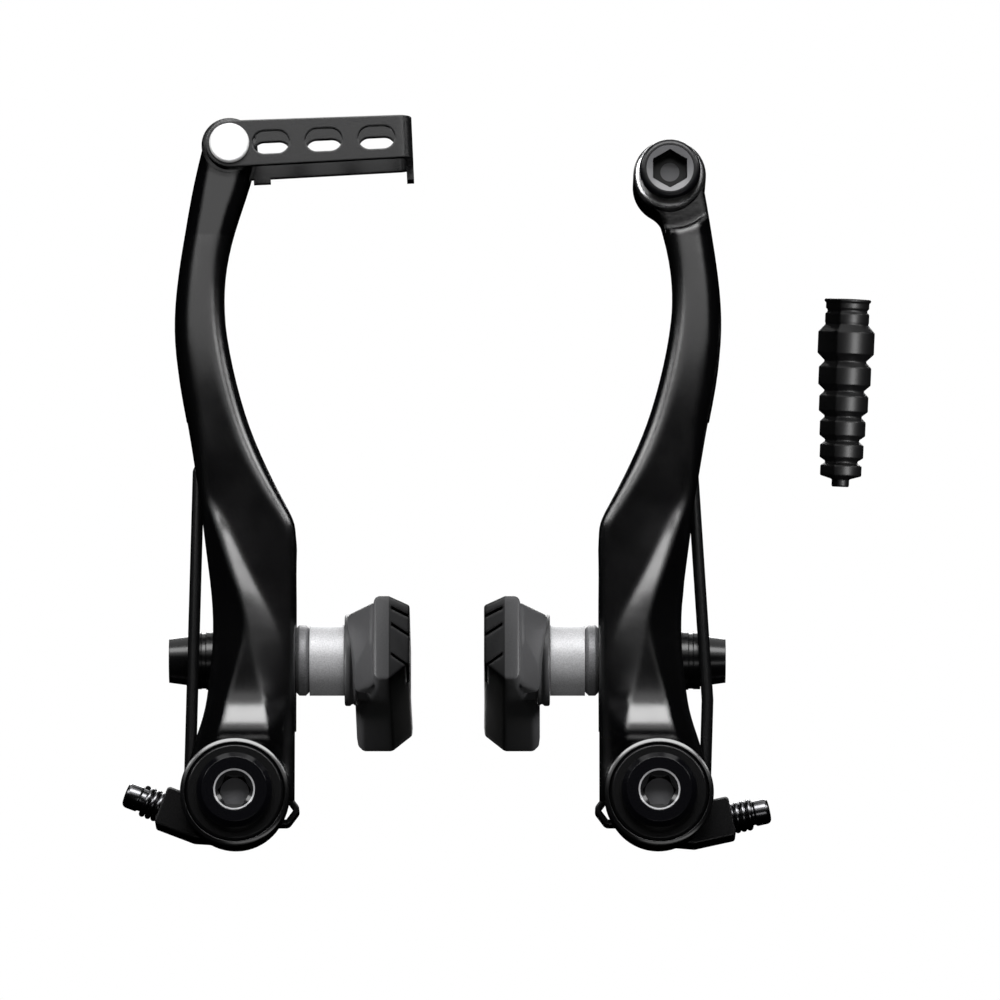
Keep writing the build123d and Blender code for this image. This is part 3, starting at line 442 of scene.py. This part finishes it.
def rimMesh(side):
    sizes = rimSizes
    mesh = growMesh(side + "HubRim", outlineMesh([
        (sizes["inner"], -sizes["back"]), (sizes["inner"], -sizes["front"] - sizes["innerDrop"]),
        (sizes["crest"], -sizes["front"]), (sizes["outer"], -sizes["front"] - sizes["slope"]),
        (sizes["outer"], -sizes["back"])], True), lathe, {
        "Corner Radius": sizes["corner"] * mm, "Corner Steps": sizes["cornerSteps"],
        "Segments": sizes["segments"], "Material": lipPaint})
    way = -1 if side == "left" else 1
    forward = Matrix.Rotation(math.radians(90), 4, "X")  # the outline's heights run to the front
    return tidyMesh(mesh, Matrix.Translation((way * sizes["pivot"] * mm, 0, 0)) @ forward)


rims = {}
for side in sides:
    rims[side] = addPiece(side + "HubRim", rimMesh(side), side + "_arm_body", lipPaint)
print("hub rims:", len(rims))


# brake pads: moulded rubber with rounded edges, a collar, a faceted shoulder and slits in the rubbing block
padSizes = {
    "pivot": 35.75, "crease": 26.0, "highSlope": 1.6, "lowSlope": 2.8, "topCut": 0.6,
    # along the rim: place, back, rubbing face low and high, top, bottom, cut of the lower back edge
    "stations": [(-28.5, 23.5, 29.5, 29.5, 32.0, 17.7, 0.7), (-20.0, 23.0, 29.5, 29.5, 31.8, 17.7, 0.9),
                 (7.0, 20.0, 29.5, 29.5, 30.6, 17.6, 1.2), (36.0, 19.9, 29.6, 29.1, 30.4, 17.5, 1.0),
                 (42.0, 20.0, 29.5, 28.5, 30.0, 17.5, 1.0)],
    "round": 0.8, "roundSteps": 4, "sharp": 30.0, "smoothTo": 35.0,
    "post": (-7.5, 24.7), "collarRound": 0.35, "collarSteps": 3, "collarSegments": 96,
    "collar": [(0.0, 18.35), (7.6, 18.35), (7.75, 18.6), (7.75, 19.3), (7.45, 19.55), (7.45, 19.85),
               (7.7, 20.1), (7.7, 20.4), (6.85, 20.6), (6.85, 24.0), (0.0, 24.0)],
    "shoulder": [(22.7, -26.2, 29.9), (23.5, -27.4, 31.2), (18.7, -14.0, 31.3), (18.9, -14.6, 29.4),
                 (20.2, -15.0, 31.4), (20.2, -16.5, 27.6), (20.4, -19.5, 21.9),
                 (22.6, -25.5, 24.9), (23.0, -20.5, 17.9), (20.2, -14.5, 18.1), (24.5, -10.0, 31.0),
                 (24.5, -10.0, 18.2), (24.5, -26.5, 30.0), (24.5, -26.0, 19.0)],
    "shoulderRound": 0.35, "shoulderSteps": 3, "shoulderSharp": 12.0, "shoulderFlat": 4.0,
    "slits": [((26.4, 30.0), (29.5, 28.45)), ((26.4, 27.2), (29.5, 25.2)), ((26.4, 22.1), (29.5, 19.9))],
    "slitWide": 0.55, "slitNear": -31.0, "slitFar": -12.0, "slitPast": 2.0,
}


def cutSlits(mesh):  # takes each slit, a thin slab, out of the pad's body
    sizes = padSizes
    holder = bpy.data.objects.new("padBody", mesh)
    bpy.context.scene.collection.objects.link(holder)
    cutters = []
    for (x, z), (endX, endZ) in sizes["slits"]:
        fall = (endZ - z) / (endX - x)
        out = endX + sizes["slitPast"]
        outZ = z + fall * (out - x)
        half = sizes["slitWide"] / 2
        ring = [(x, z - half), (out, outZ - half), (out, outZ + half), (x, z + half)]
        corners = [(a, along, b) for along in (sizes["slitNear"], sizes["slitFar"]) for a, b in ring]
        slab = bpy.data.meshes.new("slit")
        slab.from_pydata(corners, [], [(0, 1, 2, 3), (7, 6, 5, 4), (0, 4, 5, 1), (1, 5, 6, 2),
                                       (2, 6, 7, 3), (3, 7, 4, 0)])
        cutter = bpy.data.objects.new("slit", slab)
        bpy.context.scene.collection.objects.link(cutter)
        cutters.append(cutter)
        cut = holder.modifiers.new("slit", "BOOLEAN")
        cut.operation = "DIFFERENCE"
        cut.solver = "EXACT"
        cut.object = cutter
    graph = bpy.context.evaluated_depsgraph_get()
    result = bpy.data.meshes.new_from_object(holder.evaluated_get(graph))
    holder.modifiers.clear()
    for spare in [holder] + cutters:
        bpy.data.objects.remove(spare)
    return result


def roundEdges(work, size, steps, sharp):
    edges = [e for e in work.edges if e.calc_face_angle(0) > math.radians(sharp)]
    bmesh.ops.bevel(work, geom=edges, offset=size, offset_type="OFFSET", segments=steps, profile=0.5,
                    affect="EDGES", clamp_overlap=True)


def padMesh(side):
    sizes = padSizes
    work = bmesh.new()
    rows = []
    for along, back, faceLow, faceHigh, top, bottom, cut in sizes["stations"]:
        ring = [(back, bottom + cut), (back + cut, bottom), (sizes["crease"], bottom),
                (faceLow, bottom + sizes["lowSlope"]), (faceHigh, top - sizes["highSlope"]),
                (sizes["crease"], top), (back + sizes["topCut"], top), (back, top - sizes["topCut"])]
        rows.append([work.verts.new((x, along, z)) for x, z in ring])
    for near, far in zip(rows, rows[1:]):
        for i in range(len(near)):
            j = (i + 1) % len(near)
            work.faces.new((near[i], near[j], far[j], far[i]))
    work.faces.new(rows[0][::-1])
    work.faces.new(rows[-1])
    bmesh.ops.recalc_face_normals(work, faces=work.faces)
    roundEdges(work, sizes["round"], sizes["roundSteps"], sizes["sharp"])
    body = bpy.data.meshes.new("padBody")
    work.to_mesh(body)
    work.clear()
    for corner in sizes["shoulder"]:
        work.verts.new(corner)
    hull = bmesh.ops.convex_hull(work, input=work.verts)
    bmesh.ops.delete(work, geom=list(set(hull["geom_interior"] + hull["geom_unused"])), context="VERTS")
    bmesh.ops.dissolve_limit(work, angle_limit=math.radians(sizes["shoulderFlat"]), verts=work.verts,
                             edges=work.edges)
    bmesh.ops.recalc_face_normals(work, faces=work.faces)
    roundEdges(work, sizes["shoulderRound"], sizes["shoulderSteps"], sizes["shoulderSharp"])
    work.from_mesh(cutSlits(body))
    bmesh.ops.scale(work, vec=(mm, mm, mm), verts=work.verts)
    collar = growMesh(side + "PadCollar", outlineMesh(sizes["collar"]), lathe, {
        "Corner Radius": sizes["collarRound"] * mm, "Corner Steps": sizes["collarSteps"],
        "Segments": sizes["collarSegments"], "Material": finishes["pad_rubber"]})
    along, height = sizes["post"]
    outwards = Matrix.Rotation(math.radians(90), 4, "Y")  # the outline's heights run along the post
    collar.transform(Matrix.Translation((0, along * mm, height * mm)) @ outwards)
    work.from_mesh(collar)
    mesh = bpy.data.meshes.new(side + "Pad")
    work.to_mesh(mesh)
    work.free()
    way = 1 if side == "left" else -1
    tidyMesh(mesh, Matrix.Translation((-way * sizes["pivot"] * mm, 0, 0)) @ Matrix.Diagonal((way, 1, 1, 1)))
    mesh.set_sharp_from_angle(angle=math.radians(sizes["smoothTo"]))
    return mesh


pads = {}
for side in sides:
    pads[side] = addPiece(side + "MouldedPad", padMesh(side), side + "_shoe",
                          finishes["pad_rubber"])
    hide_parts(side + "_brake_pad")
print("brake pads:", len(pads), "with", len(padSizes["slits"]), "slits")


# cable boot: moulded rubber bellows with two mould flats along it
bootSizes = {
    "place": (67.3, 8.0, 57.75), "lean": 11.0, "tilt": 2.4, "bevel": 0.21, "corner": 0.28, "cornerSteps": 4,
    "segments": 144,
    "top": [(4.0, 0.0), (4.0, 0.45), (3.72, 0.7), (3.72, 1.6), (3.42, 1.95), (3.42, 2.2), (3.78, 2.6),
            (3.78, 4.0), (3.66, 4.4)],
    # each ring: radius, height and the radius of the groove under it
    "rings": [(4.85, 6.3, 3.5), (4.5, 5.1, 3.3), (4.22, 4.4, 3.05), (3.93, 4.1, 2.75), (3.75, 3.7, 2.55),
              (3.55, 2.95, 1.5)],
    "tip": (1.5, 1.3), "mouth": 2.6, "hole": 0.9, "flats": (-55.0, 125.0), "flatHalf": 35.0,
}


def bootMesh():
    sizes = bootSizes
    outline = list(sizes["top"])
    level = outline[-1][1]
    for radius, height, nextGroove in sizes["rings"]:
        cut = height * sizes["bevel"]
        outline += [(radius, level + cut), (radius, level + height - cut), (nextGroove, level + height)]
        level += height
    tipRadius, tipLength = sizes["tip"]
    length = level + tipLength
    outline += [(tipRadius, length), (sizes["hole"], length), (sizes["mouth"], 0.0)]
    mesh = growMesh("cableBoot", outlineMesh([(r, length - down) for r, down in outline], True), lathe, {
        "Corner Radius": sizes["corner"] * mm, "Corner Steps": sizes["cornerSteps"],
        "Segments": sizes["segments"], "Material": finishes["boot_rubber"]})
    half = math.radians(sizes["flatHalf"])
    for flat in sizes["flats"]:  # measured round from the front, towards the right
        middle = math.radians(flat)
        facing = Vector((math.sin(middle), -math.cos(middle)))
        for corner in mesh.vertices:
            spot = corner.co.xy
            reach = spot.length * math.cos(half)
            if spot.dot(facing) > reach:
                corner.co.xy = spot * (reach / spot.dot(facing))
    lean = Matrix.Rotation(math.radians(sizes["lean"]), 4, "X")
    tilt = Matrix.Rotation(math.radians(sizes["tilt"]), 4, "Y")
    return tidyMesh(mesh, Matrix.Translation(Vector(sizes["place"]) * mm) @ lean @ tilt)


boot = addPiece("cableBoot", bootMesh(), "root", finishes["boot_rubber"])
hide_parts("boot")
print("cable boot:", len(bootSizes["rings"]), "rings")


# studio: white all round, a black cloth that only reflections see, and soft boxes
studio = {
    "lookAt": (8.94, -10.0, 51.96), "frameWidth": 170.0, "distance": 2000.0, "elevation": -11.0,
    "sensor": 36.0, "clipNear": 0.1, "clipFar": 50.0,
    "floorHeight": -1200.0, "floorSize": 8.0, "floorColour": "f2f2f2", "skyDiffuse": 0.2,
    "clothRadius": 1.3, "clothMiddle": 0.05, "clothLow": -20.0, "clothFront": 14.4, "clothSide": 62.0,
    "clothOpening": 34.0, "clothBlend": 10.0, "clothSteps": 90,
}
clampPlate = nodes["cable_clamp_plate"]
# lift and turn in degrees from the front, far and size in metres; some light one piece, or all but a few
softBoxes = [
    {"name": "topBox", "lift": 43.0, "turn": 0.0, "far": 0.85, "size": (0.8, 0.36), "level": 8.0,
     "skip": [boot]},
    {"name": "backBox", "lift": 38.0, "turn": 180.0, "far": 0.9, "size": (0.7, 0.4), "level": 7.0},
    {"name": "lowFill", "lift": -23.0, "turn": 12.0, "far": 0.8, "size": (0.5, 0.14), "level": 1.6},
    {"name": "clampFill", "lift": 10.0, "turn": -45.0, "far": 0.8, "size": (0.5, 0.8), "level": 5.0,
     "only": [clampPlate]},
    {"name": "bootFill", "lift": -10.0, "turn": 40.0, "far": 0.8, "size": (0.28, 0.5), "level": 13.0,
     "only": [boot]},
]
for side, way in zip(sides, (-1, 1)):  # these stand in pairs
    arm = nodes[side + "_arm"]
    spared = [clampPlate] if side == "right" else []
    softBoxes += [
        {"name": side + "Strip", "lift": 34.0, "turn": way * 70.0, "far": 0.9, "size": (0.28, 0.24),
         "level": 8.0, "skip": [arm, rims[side]] + spared},
        {"name": side + "Card", "lift": 25.0, "turn": way * 39.0, "far": 0.9, "size": (0.16, 0.11),
         "level": 8.0, "skip": [arm] + spared},
        {"name": side + "PadBack", "lift": 4.0, "turn": way * -162.0, "far": 0.8, "size": (0.2, 0.2),
         "level": 2.5, "only": [pads[side]]},
        {"name": side + "PadFill", "lift": -6.0, "turn": way * 64.0, "far": 0.8, "size": (0.3, 0.3),
         "level": 40.0, "only": [pads[side]]},
    ]


def glowMaterial(name, colour, strength):
    material = bpy.data.materials.new(name)
    material.use_nodes = True
    tree = material.node_tree
    tree.nodes.clear()
    light = addNode(tree, "ShaderNodeEmission", inputs={"Color": hexColour(colour), "Strength": strength})
    addNode(tree, "ShaderNodeOutputMaterial", links={"Surface": light.outputs[0]})
    return material


def setWorld():
    world = bpy.data.worlds.new("whiteStudio")
    bpy.context.scene.world = world
    world.use_nodes = True
    tree = world.node_tree
    tree.nodes.clear()
    path = addNode(tree, "ShaderNodeLightPath")
    seen = addNode(tree, "ShaderNodeMath", {"operation": "MAXIMUM"})
    tree.links.new(path.outputs["Is Camera Ray"], seen.inputs[0])
    tree.links.new(path.outputs["Is Glossy Ray"], seen.inputs[1])
    clear = addNode(tree, "ShaderNodeMath", {"operation": "MAXIMUM"})
    tree.links.new(seen.outputs[0], clear.inputs[0])
    tree.links.new(path.outputs["Is Transmission Ray"], clear.inputs[1])
    level = addNode(tree, "ShaderNodeMapRange", inputs={"To Min": studio["skyDiffuse"], "To Max": 1.0},
                    links={"Value": clear.outputs[0]})
    sky = addNode(tree, "ShaderNodeBackground", inputs={"Color": hexColour("ffffff")},
                  links={"Strength": level.outputs["Result"]})
    addNode(tree, "ShaderNodeOutputWorld", links={"Surface": sky.outputs[0]})


def addFloor():
    size, height = studio["floorSize"] / 2, studio["floorHeight"] * mm
    mesh = bpy.data.meshes.new("floor")
    corners = [(-size, -size, height), (size, -size, height), (size, size, height), (-size, size, height)]
    mesh.from_pydata(corners, [], [(0, 1, 2, 3)])
    floor = bpy.data.objects.new("floor", mesh)
    bpy.context.scene.collection.objects.link(floor)
    mesh.materials.append(glowMaterial("paleFloor", studio["floorColour"], 1.0))
    floor.visible_diffuse = False
    floor.visible_glossy = False


def addCloth():  # only reflections see it: black cloth, low at the front so that the white shows over it
    middle, radius = studio["clothMiddle"], studio["clothRadius"]
    corners, faces = [], []
    for i in range(studio["clothSteps"]):
        turn = 360 * i / studio["clothSteps"]
        away = min(turn, 360 - turn)  # from the front
        share = min(max((away - studio["clothOpening"]) / studio["clothBlend"], 0), 1)
        lift = studio["clothFront"] + (studio["clothSide"] - studio["clothFront"]) * share
        x, y = math.sin(math.radians(turn)) * radius, -math.cos(math.radians(turn)) * radius
        corners += [(x, y, middle + math.tan(math.radians(up)) * radius) for up in (studio["clothLow"], lift)]
    for i in range(0, len(corners), 2):
        j = (i + 2) % len(corners)
        faces.append((i, j, j + 1, i + 1))
    faces.append(tuple(range(0, len(corners), 2)))
    mesh = bpy.data.meshes.new("blackCloth")
    mesh.from_pydata(corners, [], faces)
    cloth = bpy.data.objects.new("blackCloth", mesh)
    bpy.context.scene.collection.objects.link(cloth)
    mesh.materials.append(glowMaterial("blackVelvet", "000000", 0.0))
    for ray in ("camera", "diffuse", "transmission", "volume_scatter", "shadow"):
        setattr(cloth, "visible_" + ray, False)


def addSoftBox(box):
    light = bpy.data.lights.new(box["name"], "AREA")
    light.shape = "RECTANGLE"
    light.size, light.size_y = box["size"]
    light.energy = box["level"] * math.pi * box["size"][0] * box["size"][1]
    lamp = bpy.data.objects.new(box["name"], light)
    bpy.context.scene.collection.objects.link(lamp)
    lift, turn = math.radians(box["lift"]), math.radians(box["turn"])
    out = Vector((math.sin(turn) * math.cos(lift), -math.cos(turn) * math.cos(lift), math.sin(lift)))
    place = Vector(studio["lookAt"]) * mm + out * box["far"]
    lamp.matrix_world = Matrix.Translation(place) @ (-out).to_track_quat("-Z", "Y").to_matrix().to_4x4()
    lamp.visible_camera = False
    if "only" in box or "skip" in box:  # a lamp that lights just these pieces, or all but these
        marked = bpy.data.collections.new(box["name"])
        for piece in box.get("only", []) + box.get("skip", []):
            marked.objects.link(piece)
        for row in marked.collection_objects:
            row.light_linking.link_state = "EXCLUDE" if "skip" in box else "INCLUDE"
        lamp.light_linking.receiver_collection = marked


def addCamera():
    data = bpy.data.cameras.new("photoCamera")
    data.sensor_width = studio["sensor"]
    data.lens = studio["sensor"] * studio["distance"] / studio["frameWidth"]
    data.clip_start = studio["clipNear"]
    data.clip_end = studio["clipFar"]
    camera = bpy.data.objects.new("photoCamera", data)
    bpy.context.scene.collection.objects.link(camera)
    lift = math.radians(studio["elevation"])
    back = Vector((0, -math.cos(lift), math.sin(lift)))
    place = Vector(studio["lookAt"]) * mm + back * studio["distance"] * mm
    camera.matrix_world = Matrix.Translation(place) @ (-back).to_track_quat("-Z", "Y").to_matrix().to_4x4()
    bpy.context.scene.camera = camera


setWorld()
addFloor()
addCloth()
for box in softBoxes:
    addSoftBox(box)
addCamera()
bpy.context.scene.view_settings.view_transform = "Standard"
print("studio:", len(softBoxes), "soft lights")
